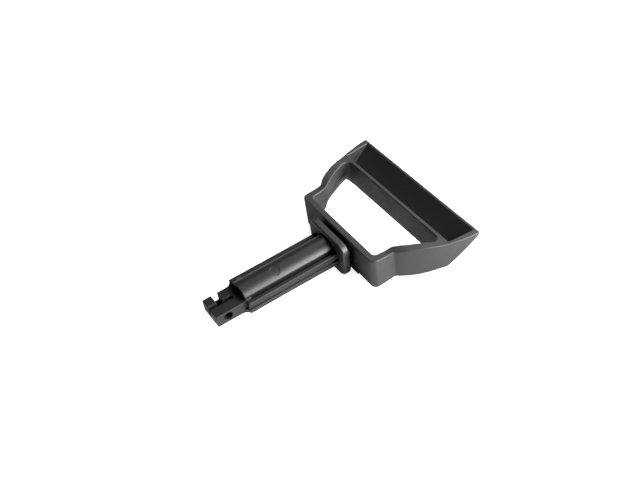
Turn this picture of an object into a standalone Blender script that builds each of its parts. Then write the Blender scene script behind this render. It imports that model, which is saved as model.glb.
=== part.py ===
"""Moulded pull handle: a trapezoid finger loop on a fluted shank that slides through an oblong guide collar.

The origin is where the shank's axis meets the pulling face of the loop's cross wall. +X runs along
the shank from the tip towards the loop and is called front, +Z is up out of the loop's top face.
Constants are in millimetres. X values are measured from the loop's base face; the frames the
pieces hang from carry them to the origin.
"""
import math

import bmesh
import bpy
from mathutils import Vector

MM = 0.001
GAP = 0.3                  # air left between touching pieces
OVERRUN = 1.0              # how far cutters and joined parts usually run past a face
SHARP_ANGLE = 32.0         # degrees; edges that turn more than this are shaded sharp
WELD = 8e-6                # metres; vertices closer than this are merged after a boolean
SHORTEST_EDGE = 4e-6       # metres; shorter edges are dissolved after a boolean

# ---- finger loop ----------------------------------------------------------------------------
LOOP_TOP = 9.05            # height of the top face above the shank's axis
LOOP_LOW = -6.0            # underside
LOOP_LEN = 48.8            # base face to the front edge
BASE_HALF = 28.8           # half width of the base bar
BASE_THICK = 3.4
BASE_REACH = 2.64          # where the rounding of a base corner starts, from the corner
STUB_X, STUB_HALF = 11.5, 29.5   # where the straight stubs end and the arms flare
STUB_REACH = 0.7           # start of the rounding between stub and flare
FRONT_HALF = 43.95         # half width at the front edge
ARM_PULLS = (16.2, 36.6), (38.0, 43.4)    # control points (x, y) of the flared outer side
RUN_OUT = 2.5, 0.1         # the outline's excess in x and y past the front edge, cut off later
EDGE = 0.5                 # rounding of the outer edges

WEB_X, WEB_THICK = 32.3, 1.92     # thin cross wall between the opening and the trough
OPEN_HALF = 25.2           # half width of the opening at the base bar
OPEN_STUB = (12.6, 26.1)   # (x, y) where the opening's flare begins
OPEN_PULLS = (13.2, 26.5), (24.5, 34.6)   # control points (x, y) of the opening's flare
OPEN_END = (WEB_X, 36.6)
OPEN_REACHES = [1.8, 1.0, 4.0]    # corner roundings: base bar, start of flare, cross wall
OPEN_DEEP = 7.8            # depth of the upright part of the opening's side walls
LIP = 0.45                 # rounding of the opening's upper edge
SPLAY_WALL = 1.1           # side wall left at the underside
SPLAY_EXTRA, SPLAY_RUN = 1.3, 9.0 # more wall at the base bar, and the length it fades over

RAKE_X = 32.6              # where the raked front face reaches the underside
NOSE = 1.0                 # blunt front edge above the rake
RAKE_PAST = 1.5            # the rake cutter's overrun above and below
RAKE_DEEP = 9.0            # its reach in front of the loop
RAKE_HALF = 60.0           # its half width
TROUGH_END, TROUGH_TAPER = 39.5, 0.094    # half length at the web, and growth towards the front
TROUGH_FRONT = 47.6        # front lip of the trough at the top face
TROUGH_FLOOR = (35.2, -0.6)       # (x, z) of the floor's front edge
TROUGH_RADII = [0.3, 0.5, 0.0, 0.0]       # floor at the web, floor at the front, open top

CROWN = 1.1                # how much the arms' top face stands above the rest
CROWN_UP, CROWN_DOWN = (7.5, 17.0), (22.0, 33.5)  # x spans it rises and falls over
DROP, DROP_SPAN = 1.9, (2.0, 16.0)        # underside: lower at the base, fading over the span
RISE, RISE_SPAN = 0.7, (20.0, 31.5)       # underside: higher at the cross wall
FACE_SLACK = 0.02          # tolerance when picking the vertices of the top and underside
PAD_HALF, PAD_LOW, PAD_BACK = 15.3, -9.4, 0.15    # pad under the base bar, and its setback
SCREW_HOLE_RADIUS, SINK_X = 2.2, 1.6
SINK_RADIUS = SCREW_HOLE_RADIUS + BASE_THICK - SINK_X     # 45 degree countersink

# ---- shank ----------------------------------------------------------------------------------
STEM_END = -53.2           # end of the fluted section
STEM_RUN = 3.4             # how far the core runs on into the tip
NECK_X = -2.12             # shoulder on the loop side of the collar, where the neck begins
LEAD = 0.2                 # chamfer at the shoulder
CORE_RADIUS = 7.2
CORE_HALF = 5.92           # half width of the core between the grooves
GROOVE_Z = 1.4             # floor of the upper grooves
RAIL_IN, RAIL_OUT, RAIL_Z = 7.9, 9.35, 3.2
RAIL_SLOT_Z, RAIL_SLOT_Y = 1.15, 8.6      # groove along the rail's outer face
FLUTE_REACH = 0.28         # most that a corner of the fluted section is rounded back
NECK_HALF_Y, NECK_HALF_Z, NECK_RADIUS = 7.6, 4.4, 1.5
NECK_OVERLAP = 0.06
KEY_HALF_Y, KEY_HALF_Z = 5.0, 3.0         # locating key at the loop end
KEY_DEEP = 0.6

# ---- cable tip ------------------------------------------------------------------------------
TIP_END = -68.6
TIP_HALF = 6.6
TIP_TOP, TIP_LOW = 2.7, -3.6
TIP_CORNER = 0.4           # rounding of the corners at the free end
TIP_FILLET = 3.0           # hollow fillets between the fluted section and the tip
TIP_OVERLAP = 0.04
DIP_EXTRA = 0.2            # the upper and lower fillets are larger by this
DIP_SETBACK = 0.1          # and start this far behind the rails' end
SLOT_LO, SLOT_HI, SLOT_END, SLOT_FLOOR = -0.8, 1.3, -56.6, -1.3   # y, y, x, z
NOTCH_X0, NOTCH_X1, NOTCH_FLOOR = -64.15, -61.05, -1.75
NOTCH_OVERLAP = 0.5        # into the slot
NIPPLE_X, NIPPLE_Z, NIPPLE_RADIUS = -62.8, -0.15, 2.1
NIPPLE_OVERLAP = 0.6       # into the slot

# ---- collar, buffer, screw ------------------------------------------------------------------
COLLAR_X0, COLLAR_X1 = -5.9, -2.24
COLLAR_HALF, COLLAR_Z = 14.3, 9.4
COLLAR_RADIUS_TOP, COLLAR_RADIUS_LOW = 4.4, 5.6
COLLAR_EDGE = 0.9
BUFFER_X0, BUFFER_X1 = NECK_X + GAP, -GAP
BUFFER_HALF, BUFFER_Z, BUFFER_RADIUS = 11.2, 6.2, 4.0
BUFFER_EDGE = 0.35
SCREW_RADIUS, SCREW_END = 1.7, -14.0
SCREW_POINT, SCREW_POINT_RADIUS = 1.6, 0.35       # length and end radius of the point
HEAD_X = BASE_THICK - 0.2         # outer face of the screw head
HEAD_RIM = 0.15            # straight rim of the head
CONE_X = SINK_X - 0.06     # where the head's 45 degree cone begins
CROSS_LONG, CROSS_WIDE, CROSS_DEEP = 1.9, 0.42, 1.2       # cross recess: half sizes and depth
PILOT_RADIUS, PILOT_END = 2.0, -17.0
PILOT_POINT, PILOT_POINT_RADIUS = 1.1, 0.4


# ---- plane curves ---------------------------------------------------------------------------
def bezier(start, start_pull, end_pull, end, steps):
    """Cubic curve as a list of points, both ends included."""
    points = []
    for i in range(steps + 1):
        t = i / steps
        weights = (1 - t) ** 3, 3 * (1 - t) ** 2 * t, 3 * (1 - t) * t * t, t ** 3
        controls = list(zip(weights, (start, start_pull, end_pull, end)))
        points.append(tuple(sum(weight * point[axis] for weight, point in controls)
                            for axis in (0, 1)))
    return points


def trim(run, reach):
    """Shortens a run of points at its end by reach; returns it and the direction it ends in."""
    points = list(run)
    left = reach
    while len(points) > 2 and (points[-1] - points[-2]).length <= left:
        left -= (points[-1] - points[-2]).length
        points.pop()
    way = (points[-1] - points[-2]).normalized()
    points[-1] = points[-1] - way * left
    return points, way


def corner_arc(start, leaving, end, arriving, steps):
    """Inner points of a conic arc from start to end, tangent to both directions."""
    chord = end - start
    cross = leaving.x * arriving.y - leaving.y * arriving.x
    corner = start + leaving * ((chord.x * arriving.y - chord.y * arriving.x) / cross)
    pull = math.sqrt(max(0.0, (1 + leaving.dot(arriving)) / 2))
    points = []
    for i in range(1, steps):
        t = i / steps
        first, middle, last = (1 - t) ** 2, 2 * pull * t * (1 - t), t * t
        blend = start * first + corner * middle + end * last
        points.append(blend / (first + middle + last))
    return points


def join(legs, reaches, steps, closed=True):
    """Joins runs of points; reaches[i] rounds the corner after run i, starting that far from it."""
    count = len(legs)
    runs = [[Vector(point) for point in leg] for leg in legs]
    arcs = [[] for _ in runs]
    for i in range(count if closed else count - 1):
        j = (i + 1) % count
        if reaches[i] <= 0:
            runs[i] = runs[i][:-1]
            continue
        runs[i], leaving = trim(runs[i], reaches[i])
        backwards, returning = trim(runs[j][::-1], reaches[i])
        runs[j] = backwards[::-1]
        arcs[i] = corner_arc(runs[i][-1], leaving, runs[j][0], -returning, steps)
    return [(point.x, point.y) for run, arc in zip(runs, arcs) for point in run + arc]


def rounded(corners, radii, steps):
    """Closed polygon with its corners rounded to circular arcs."""
    count = len(corners)
    legs = [[corners[i], corners[(i + 1) % count]] for i in range(count)]
    reaches = []
    for i in range(count):
        before, corner, after = (Vector(corners[(i + k) % count]) for k in range(3))
        turn = (corner - before).angle(after - corner)
        reaches.append(radii[(i + 1) % count] * math.tan(turn / 2))
    return join(legs, reaches, steps)


def oblong(half, height, radius_top, radius_low, steps):
    """Rounded rectangle about the axis; half and height are its half sizes."""
    corners = [(half, height), (-half, height), (-half, -height), (half, -height)]
    return rounded(corners, [radius_top, radius_top, radius_low, radius_low], steps)


def circle(radius, steps, centre=(0.0, 0.0)):
    angles = [2 * math.pi * i / steps for i in range(steps)]
    return [(centre[0] + radius * math.cos(angle), centre[1] + radius * math.sin(angle))
            for angle in angles]


def mirrored(half):
    """Closes a half outline, running between two points of the X axis, with its mirror image."""
    return half + [(x, -y) for x, y in reversed(half) if abs(y) > 1e-9]


def signed_area(ring):
    return 0.5 * sum(ring[i - 1][0] * ring[i][1] - ring[i][0] * ring[i - 1][1]
                     for i in range(len(ring)))


def inset(ring, distance):
    """The outline moved inwards (outwards when negative), point for point."""
    side = 1 if signed_area(ring) > 0 else -1
    moved = []
    for i, place in enumerate(ring):
        point = Vector(place)
        before = (point - Vector(ring[i - 1])).normalized()
        after = (Vector(ring[(i + 1) % len(ring)]) - point).normalized()
        normal = Vector((-before.y, before.x)) * side
        next_normal = Vector((-after.y, after.x)) * side
        middle = (normal + next_normal).normalized()
        # the lower limit keeps sharp corners from shooting out
        point = point + middle * (distance / max(0.35, middle.dot(normal)))
        moved.append((point.x, point.y))
    return moved


def quarter_angles(steps):
    return [math.pi / 2 * i / steps for i in range(steps + 1)]


def quarter(radius, steps):
    """Rounding profile: (inset, drop) pairs from the face (radius, 0) to the side (0, radius)."""
    return [(radius - radius * math.sin(angle), radius - radius * math.cos(angle))
            for angle in quarter_angles(steps)]


def width_at(run, x):
    """The y of a run of points with rising x, at x."""
    for (x0, y0), (x1, y1) in zip(run, run[1:]):
        if x <= x1:
            return y0 + (y1 - y0) * max(0.0, (x - x0)) / max(1e-9, x1 - x0)
    return run[-1][1]


# ---- solids ---------------------------------------------------------------------------------
def solid(name, rings):
    """Closed body through rings of 3-D points, all with the same count, capped at both ends."""
    mesh = bpy.data.meshes.new(name)
    bm = bmesh.new()
    rows = [[bm.verts.new(Vector(point) * MM) for point in ring] for ring in rings]
    count = len(rows[0])
    for low, high in zip(rows, rows[1:]):
        for i in range(count):
            j = (i + 1) % count
            bm.faces.new((low[i], low[j], high[j], high[i]))
    bm.faces.new(rows[0][::-1])
    bm.faces.new(rows[-1])
    bmesh.ops.recalc_face_normals(bm, faces=bm.faces)
    bm.to_mesh(mesh)
    bm.free()
    obj = bpy.data.objects.new(name, mesh)
    bpy.context.scene.collection.objects.link(obj)
    return obj


def on_z(ring, z):
    return [(x, y, z) for x, y in ring]


def on_x(ring, x):
    return [(x, y, z) for y, z in ring]


def on_y(ring, y):
    return [(x, y, z) for x, z in ring]


def prism(name, ring, place, start, end):
    """Straight body from start to end; place is on_x, on_y or on_z."""
    return solid(name, [place(ring, start), place(ring, end)])


def edged_rings(ring, place, start, end, radius, steps):
    """Rings of a prism whose edges at both ends are rounded."""
    profile = quarter(radius, steps)
    rings = [place(inset(ring, inward), start + drop) for inward, drop in profile]
    return rings + [place(inset(ring, inward), end - drop) for inward, drop in reversed(profile)]


def box(name, low, high):
    ring = [(low[0], low[1]), (high[0], low[1]), (high[0], high[1]), (low[0], high[1])]
    return prism(name, ring, on_z, low[2], high[2])


def turned(name, profile, steps):
    """Body turned about the shank's axis from (x, radius) pairs."""
    return solid(name, [on_x(circle(radius, steps), x) for x, radius in profile])


def combine(target, tools, operation):
    """Boolean of a body with others; the tools are used up."""
    for tool in tools:
        modifier = target.modifiers.new(operation.lower(), "BOOLEAN")
        modifier.operation = operation
        modifier.solver = "EXACT"
        modifier.object = tool
    bpy.context.view_layer.update()
    evaluated = target.evaluated_get(bpy.context.evaluated_depsgraph_get())
    result = bpy.data.meshes.new_from_object(evaluated)
    target.modifiers.clear()
    old = target.data
    target.data = result
    bpy.data.meshes.remove(old)
    for tool in tools:
        data = tool.data
        bpy.data.objects.remove(tool)
        bpy.data.meshes.remove(data)
    bm = bmesh.new()
    bm.from_mesh(result)
    bmesh.ops.remove_doubles(bm, verts=bm.verts, dist=WELD)
    bmesh.ops.dissolve_degenerate(bm, edges=bm.edges, dist=SHORTEST_EDGE)
    bm.to_mesh(result)
    bm.free()


def finish(obj, colour, roughness, metallic):
    """Gives a piece its own material and shades it smooth between sharp edges."""
    material = bpy.data.materials.new(obj.name)
    material.use_nodes = True
    shader = material.node_tree.nodes["Principled BSDF"]
    shader.inputs["Base Color"].default_value = (*colour, 1.0)
    shader.inputs["Roughness"].default_value = roughness
    shader.inputs["Metallic"].default_value = metallic
    material.diffuse_color = (*colour, 1.0)
    obj.data.materials.clear()
    obj.data.materials.append(material)
    obj.data.name = obj.name
    obj.data.shade_smooth()
    obj.data.set_sharp_from_angle(angle=math.radians(SHARP_ANGLE))
    return obj


# ---- outlines -------------------------------------------------------------------------------
def arm_side(steps):
    """Outer side of the loop from the base face to the front edge: straight stub, then flare."""
    stub_end = (STUB_X, STUB_HALF)
    return ([(0.0, BASE_HALF), stub_end],
            bezier(stub_end, *ARM_PULLS, (LOOP_LEN, FRONT_HALF), steps))


def loop_outline():
    stub, flare = arm_side(26)
    run_out = (LOOP_LEN + RUN_OUT[0], FRONT_HALF + RUN_OUT[1])
    legs = [[(0.0, 0.0), stub[0]], stub, flare + [run_out], [run_out, (run_out[0], 0.0)]]
    return mirrored(join(legs, [BASE_REACH, STUB_REACH, 0], steps=7, closed=False))


def opening_side(steps):
    return bezier(OPEN_STUB, *OPEN_PULLS, OPEN_END, steps)


def opening_outline():
    base = (BASE_THICK, OPEN_HALF)
    legs = [[(BASE_THICK, 0.0), base], [base, OPEN_STUB], opening_side(18),
            [OPEN_END, (WEB_X, 0.0)]]
    return mirrored(join(legs, OPEN_REACHES, steps=7, closed=False))


def fluted_outline(grow=0.0):
    """Shank's cross section in y and z: round core, grooves, slotted rails; grow is outwards."""
    radius, half, floor = CORE_RADIUS + grow, CORE_HALF + grow, GROOVE_Z + grow
    inner, outer, rail_top = RAIL_IN - grow, RAIL_OUT + grow, RAIL_Z + grow
    slot_z, slot_y = RAIL_SLOT_Z - grow, RAIL_SLOT_Y + grow
    begin = math.acos(half / radius)
    angles = [begin + (math.pi - 2 * begin) * i / 24 for i in range(25)]
    top = [(radius * math.cos(angle), radius * math.sin(angle)) for angle in angles]
    side = [(-half, floor), (-inner, floor), (-inner, rail_top), (-outer, rail_top),
            (-outer, slot_z), (-slot_y, slot_z)]
    # top arc and -Y side, then the same turned half round
    path = [top[-1], *side, *((y, -z) for y, z in reversed(side)), (-top[0][0], -top[0][1])]
    legs = [top, *zip(path, path[1:])]
    legs += [[(-y, -z) for y, z in leg] for leg in legs]
    spans = [(Vector(leg[-1]) - Vector(leg[0])).length for leg in legs]
    reaches = [min(FLUTE_REACH, min(span, following) * 0.35)
               for span, following in zip(spans, spans[1:] + spans[:1])]
    return join(legs, reaches, steps=3)


# ---- finger loop ----------------------------------------------------------------------------
def ease(x, span):
    """Smooth step from 0 to 1 over a span of x."""
    t = min(1.0, max(0.0, (x - span[0]) / (span[1] - span[0])))
    return t * t * (3 - 2 * t)


def crown(x):
    """Extra height of the top face at x."""
    return CROWN * ease(x, CROWN_UP) * (1 - ease(x, CROWN_DOWN))


def sink(x):
    """Extra depth of the underside at x."""
    return DROP * (1 - ease(x, DROP_SPAN)) - RISE * ease(x, RISE_SPAN)


def bow(obj):
    """Shapes the flat top and underside; the upright walls between them stay straight."""
    bm = bmesh.new()
    bm.from_mesh(obj.data)
    bmesh.ops.triangulate(bm, faces=[face for face in bm.faces if len(face.verts) > 3],
                          quad_method="BEAUTY", ngon_method="BEAUTY")
    for vertex in bm.verts:
        x, z = vertex.co.x / MM, vertex.co.z / MM
        if z > LOOP_TOP - EDGE - FACE_SLACK:
            vertex.co.z += crown(x) * MM
        elif LOOP_LOW - FACE_SLACK < z < LOOP_LOW + EDGE + FACE_SLACK:
            vertex.co.z -= sink(x) * MM
    bm.to_mesh(obj.data)
    bm.free()


def opening_cutter():
    """Rounded lip, upright walls, then side walls that run out towards the underside."""
    mouth = opening_outline()
    stub, flare = arm_side(40)
    outer = stub + flare[1:]
    inner = [(BASE_THICK, OPEN_HALF)] + opening_side(40)
    knee = LOOP_TOP - OPEN_DEEP
    stretch = 1 + OVERRUN / (knee - LOOP_LOW)     # carries the splay on below the underside
    below = []
    for x, y in mouth:
        wall = SPLAY_WALL + SPLAY_EXTRA * max(0.0, 1 - (x - BASE_THICK) / SPLAY_RUN)
        splayed = y * (width_at(outer, x) - wall) / width_at(inner, x)
        below.append((x, y + (splayed - y) * stretch))
    rings = [on_z(below, LOOP_LOW - OVERRUN), on_z(mouth, knee)]
    rings += [on_z(inset(mouth, -outward), LOOP_TOP - drop)
              for outward, drop in reversed(quarter(LIP, 4))]
    rings += [on_z(inset(mouth, -LIP), LOOP_TOP + OVERRUN)]
    return solid("opening", rings)


def front_cutter():
    """Cuts the raked front face and the blunt nose above it."""
    nose_z = LOOP_TOP - NOSE
    lean = (LOOP_LEN - RAKE_X) / (nose_z - LOOP_LOW)
    top, bottom, far = LOOP_TOP + RAKE_PAST, LOOP_LOW - RAKE_PAST, LOOP_LEN + RAKE_DEEP
    rake = [(LOOP_LEN, top), (LOOP_LEN, nose_z), (RAKE_X - lean * RAKE_PAST, bottom),
            (far, bottom), (far, top)]
    return prism("front", rake, on_y, -RAKE_HALF, RAKE_HALF)


def trough_cutter():
    """Trough between the cross wall and the raked face, open at the top."""
    web = WEB_X + WEB_THICK
    floor_x, floor_z = TROUGH_FLOOR
    slope = (TROUGH_FRONT - floor_x) / (LOOP_TOP - floor_z)
    top = LOOP_TOP + OVERRUN
    corners = [(web, floor_z), TROUGH_FLOOR, (TROUGH_FRONT + slope * OVERRUN, top), (web, top)]
    section = rounded(corners, TROUGH_RADII, 4)
    return solid("trough", [[(x, side * (TROUGH_END + (x - web) * TROUGH_TAPER), z)
                             for x, z in section] for side in (-1, 1)])


def grip_loop():
    body = solid("grip_loop", edged_rings(loop_outline(), on_z, LOOP_LOW, LOOP_TOP, EDGE, 4))
    seat = box("seat", (-OVERRUN, -KEY_HALF_Y - GAP, -KEY_HALF_Z - GAP),
               (KEY_DEEP, KEY_HALF_Y + GAP, KEY_HALF_Z + GAP))
    hole = turned("hole", [(-OVERRUN / 2, SCREW_HOLE_RADIUS), (SINK_X, SCREW_HOLE_RADIUS),
                           (BASE_THICK, SINK_RADIUS), (BASE_THICK + OVERRUN, SINK_RADIUS)], 40)
    pad = box("pad", (PAD_BACK, -PAD_HALF, PAD_LOW),
              (BASE_THICK - PAD_BACK, PAD_HALF, LOOP_LOW + OVERRUN))
    cutters = [opening_cutter(), front_cutter(), trough_cutter(), seat, hole]
    combine(body, cutters, "DIFFERENCE")
    combine(body, [pad], "UNION")
    bow(body)
    return finish(body, colour=(0.028, 0.029, 0.030), roughness=0.52, metallic=0.0)


# ---- shank ----------------------------------------------------------------------------------
def rail_end_cutters():
    """Boxes that end the rails squarely, beside the core."""
    near, far, high = CORE_HALF + 0.1, 12, 9
    return [box("side", (STEM_END - 5, y0, -high), (STEM_END, y1, high))
            for y0, y1 in ((near, far), (-far, -near))]


def dip_cutter(sign, level):
    """Takes the core down (sign 1) or up (-1) to the tip's face at level in a hollow fillet."""
    radius = TIP_FILLET + DIP_EXTRA
    wall = STEM_END - DIP_SETBACK
    face = sign * (CORE_RADIUS + 2)
    arc = [(wall - radius + radius * math.sin(angle),
            level + sign * (radius - radius * math.cos(angle))) for angle in quarter_angles(10)]
    profile = [(wall - 6, level)] + arc + [(wall, face), (wall - 6, face)]
    return prism("dip", profile, on_y, -9.0, 9.0)


def tip_plate():
    """Flat tip, flaring into the rails with hollow fillets."""
    arc = [(STEM_END - TIP_FILLET + TIP_FILLET * math.sin(angle),
            TIP_HALF + TIP_FILLET - TIP_FILLET * math.cos(angle)) for angle in quarter_angles(10)]
    root = STEM_END + TIP_OVERLAP
    arc = [(x, y) for x, y in arc if y < RAIL_OUT] + [(root, RAIL_OUT)]
    corner = (TIP_END, TIP_HALF)
    legs = [[(TIP_END, 0.0), corner], [corner] + arc, [arc[-1], (root, 0.0)]]
    half = join(legs, [TIP_CORNER, 0], steps=4, closed=False)
    return prism("tip", mirrored(half), on_z, TIP_LOW, TIP_TOP)


def stem_cutters():
    """Cable slot, nipple notch on the +Y side, nipple hole on the -Y side, screw pilot hole."""
    top = TIP_TOP + OVERRUN
    slot = box("slot", (TIP_END - OVERRUN, SLOT_LO, SLOT_FLOOR), (SLOT_END, SLOT_HI, top))
    notch = box("notch", (NOTCH_X0, SLOT_HI - NOTCH_OVERLAP, NOTCH_FLOOR),
                (NOTCH_X1, TIP_HALF + 2 * OVERRUN, top))
    eye = prism("eye", circle(NIPPLE_RADIUS, 28, (NIPPLE_X, NIPPLE_Z)), on_y,
                -TIP_HALF - OVERRUN, SLOT_LO + NIPPLE_OVERLAP)
    pilot = turned("pilot", [(PILOT_END - PILOT_POINT, PILOT_POINT_RADIUS),
                             (PILOT_END, PILOT_RADIUS), (OVERRUN, PILOT_RADIUS)], 28)
    return [slot, notch, eye, pilot]


def stem():
    ring = fluted_outline()
    body = solid("stem", [on_x(ring, STEM_END - STEM_RUN), on_x(ring, NECK_X - LEAD),
                          on_x(fluted_outline(grow=-LEAD), NECK_X)])
    dips = [dip_cutter(1, TIP_TOP), dip_cutter(-1, TIP_LOW)]
    combine(body, rail_end_cutters() + dips, "DIFFERENCE")

    neck_ring = oblong(NECK_HALF_Y, NECK_HALF_Z, NECK_RADIUS, NECK_RADIUS, 5)
    neck = prism("neck", neck_ring, on_x, NECK_X - NECK_OVERLAP, -GAP)
    key = box("key", (-OVERRUN, -KEY_HALF_Y, -KEY_HALF_Z),
              (KEY_DEEP - GAP, KEY_HALF_Y, KEY_HALF_Z))
    combine(body, [tip_plate(), neck, key], "UNION")
    combine(body, stem_cutters(), "DIFFERENCE")
    return finish(body, colour=(0.020, 0.021, 0.022), roughness=0.34, metallic=0.0)


# ---- collar, buffer, screw ------------------------------------------------------------------
def guide_collar():
    ring = oblong(COLLAR_HALF, COLLAR_Z, COLLAR_RADIUS_TOP, COLLAR_RADIUS_LOW, 9)
    body = solid("guide_collar", edged_rings(ring, on_x, COLLAR_X0, COLLAR_X1, COLLAR_EDGE, 5))
    way = prism("way", fluted_outline(grow=GAP), on_x, COLLAR_X0 - OVERRUN, COLLAR_X1 + OVERRUN)
    combine(body, [way], "DIFFERENCE")
    return finish(body, colour=(0.024, 0.025, 0.026), roughness=0.42, metallic=0.0)


def stop_buffer():
    ring = oblong(BUFFER_HALF, BUFFER_Z, BUFFER_RADIUS, BUFFER_RADIUS, 8)
    body = solid("stop_buffer", edged_rings(ring, on_x, BUFFER_X0, BUFFER_X1, BUFFER_EDGE, 3))
    radius = NECK_RADIUS + GAP
    hole = oblong(NECK_HALF_Y + GAP, NECK_HALF_Z + GAP, radius, radius, 5)
    bore = prism("bore", hole, on_x, BUFFER_X0 - OVERRUN, BUFFER_X1 + OVERRUN)
    combine(body, [bore], "DIFFERENCE")
    return finish(body, colour=(0.012, 0.012, 0.013), roughness=0.85, metallic=0.0)


def retaining_screw():
    """Countersunk screw with a cross recess in its head."""
    rim_x = HEAD_X - HEAD_RIM
    head_radius = SCREW_RADIUS + rim_x - CONE_X
    profile = [(SCREW_END - SCREW_POINT, SCREW_POINT_RADIUS), (SCREW_END, SCREW_RADIUS),
               (CONE_X, SCREW_RADIUS), (rim_x, head_radius), (HEAD_X, head_radius)]
    body = turned("retaining_screw", profile, 32)
    arms = [box("arm", (HEAD_X - CROSS_DEEP, -y, -z), (HEAD_X + OVERRUN, y, z))
            for y, z in ((CROSS_LONG, CROSS_WIDE), (CROSS_WIDE, CROSS_LONG))]
    combine(body, arms, "DIFFERENCE")
    return finish(body, colour=(0.55, 0.55, 0.56), roughness=0.3, metallic=1.0)


# ---- assembly -------------------------------------------------------------------------------
def hang(obj, x, frame, frame_x):
    """Moves a piece's origin to x on the axis, its surface staying put, and parents it."""
    for vertex in obj.data.vertices:
        vertex.co.x -= x * MM
    obj.parent = frame
    obj.location = ((x - frame_x) * MM, 0.0, 0.0)


def axis_frame(name, x):
    """Empty on the shank's axis, which is also the line the pull stroke slides along."""
    frame = bpy.data.objects.new(name, None)
    frame.empty_display_size = 10 * MM
    frame.location = ((x - WEB_X) * MM, 0.0, 0.0)
    bpy.context.scene.collection.objects.link(frame)
    return frame


def main():
    for old in list(bpy.data.objects):
        bpy.data.objects.remove(old)
    handle = axis_frame("handle_frame", 0.0)
    panel = axis_frame("panel_frame", COLLAR_X0)
    for build, x in ((grip_loop, 0.0), (stem, -GAP), (stop_buffer, BUFFER_X1),
                     (retaining_screw, BASE_THICK)):
        hang(build(), x, handle, 0.0)
    hang(guide_collar(), COLLAR_X0, panel, COLLAR_X0)


main()
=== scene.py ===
"""Pull handle: a finger loop on a fluted shank with a cable tip, a guide collar, a buffer, a screw.

The shank lies along X. The loop's base face is at X = 0 in the sizes below, the loop reaches
towards +X and the shank towards -X; Y runs across the loop and Z is up. Each part is a signed
distance field on a grid (negative inside), and its mesh is drawn through the zero level.
"""

import math
from itertools import product

import bmesh
import bpy
import numpy as np
from mathutils import Matrix, Vector

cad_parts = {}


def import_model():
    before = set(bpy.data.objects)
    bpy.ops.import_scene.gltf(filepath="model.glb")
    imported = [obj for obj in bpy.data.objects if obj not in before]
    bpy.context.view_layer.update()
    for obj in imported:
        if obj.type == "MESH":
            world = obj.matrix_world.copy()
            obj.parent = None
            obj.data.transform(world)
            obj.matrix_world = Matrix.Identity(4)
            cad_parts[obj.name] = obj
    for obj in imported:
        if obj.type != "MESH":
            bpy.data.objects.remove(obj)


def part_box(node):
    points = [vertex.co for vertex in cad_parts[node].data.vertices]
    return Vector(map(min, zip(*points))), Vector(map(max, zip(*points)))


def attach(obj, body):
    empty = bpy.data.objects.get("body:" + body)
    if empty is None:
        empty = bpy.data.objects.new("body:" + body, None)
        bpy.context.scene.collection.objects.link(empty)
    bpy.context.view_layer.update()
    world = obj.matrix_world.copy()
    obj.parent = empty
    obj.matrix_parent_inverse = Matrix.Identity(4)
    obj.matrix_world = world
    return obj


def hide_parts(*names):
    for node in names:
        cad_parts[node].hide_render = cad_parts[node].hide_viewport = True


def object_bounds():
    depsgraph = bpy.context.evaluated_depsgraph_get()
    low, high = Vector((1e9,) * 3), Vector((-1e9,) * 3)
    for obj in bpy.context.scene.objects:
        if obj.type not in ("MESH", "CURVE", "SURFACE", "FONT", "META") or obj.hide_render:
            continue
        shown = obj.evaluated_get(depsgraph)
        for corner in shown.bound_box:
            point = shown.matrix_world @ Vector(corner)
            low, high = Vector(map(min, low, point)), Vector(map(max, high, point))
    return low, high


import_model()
cad_low, cad_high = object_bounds()
MM = 0.001


# ---- sizes, in millimetres ----
def box_mm(part):
    low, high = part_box(part)
    return [c / MM for c in low], [c / MM for c in high]


BASE_AT = box_mm("grip_loop")[0][0]


def box_from_base(part):
    """Box of a CAD piece, with X measured from the loop's base face."""
    low, high = box_mm(part)
    low[0] -= BASE_AT
    high[0] -= BASE_AT
    return low, high


LOOP_MIN, LOOP_MAX = box_from_base("grip_loop")
STEM_MIN, _ = box_from_base("stem")
COLLAR_MIN, COLLAR_MAX = box_from_base("guide_collar")
BUFFER_MIN, BUFFER_MAX = box_from_base("stop_buffer")

GAP = 0.3  # play between fitting parts
OVERLAP = 3.0  # how far buried ends and cutters run past the surface they meet

# finger loop: heights, and the X spans over which they change
CROWN, CROWN_START, CROWN_END = 1.1, (7.5, 17.0), (22.0, 33.5)
DROP, DROP_SPAN = 1.9, (2.0, 16.0)
RISE, RISE_SPAN = 0.7, (20.0, 31.5)
LOOP_TOP, LOOP_LOW = LOOP_MAX[2] - CROWN, -6.0
PAD_HALF, PAD_LOW, PAD_BACK = 15.3, LOOP_MIN[2], 0.15
# loop outline, as (x, half width)
LOOP_LENGTH, FRONT_HALF = LOOP_MAX[0], 43.95
BASE_HALF, BASE_THICK, BASE_REACH = 28.8, 3.4, 3.0 * 0.88
STUB = (11.5, 29.5)
ARM_CURVE = [STUB, (16.2, 36.6), (38.0, 43.4), (LOOP_LENGTH, FRONT_HALF)]
CORNER_STEPS = 12
# opening, closed at the front by a web
WEB_X, WEB_THICK = 32.3, 1.92
OPEN_HALF, OPEN_DEEP = 25.2, 7.8
OPEN_CURVE = [(12.6, 26.1), (13.2, 26.5), (24.5, 34.6), (WEB_X, 36.6)]
# arm wall at the underside: extra near the base, a little less along the arm
WALL, WALL_EXTRA, WALL_EXTRA_LENGTH = 1.1, 1.3, 9.0
WALL_LESS, WALL_LESS_SPAN = 0.15, (20.0, 30.0)
# raked front face and the trough behind it
RAKE_X, NOSE = 32.6, 1.0
TROUGH_END, TROUGH_TAPER = 39.5, 0.094
TROUGH_FRONT, TROUGH_FLOOR = 47.6, (35.2, -0.6)
# key, screw hole and countersink
KEY_HALF_Y, KEY_HALF_Z, KEY_DEEP = 5.0, 3.0, 0.6
HOLE_R, HOLE_END = 2.2, 4.0
SINK_R, SINK_X, SINK_BACK, SINK_END = 4.0, 1.6, 1.5, 6.0

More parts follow.
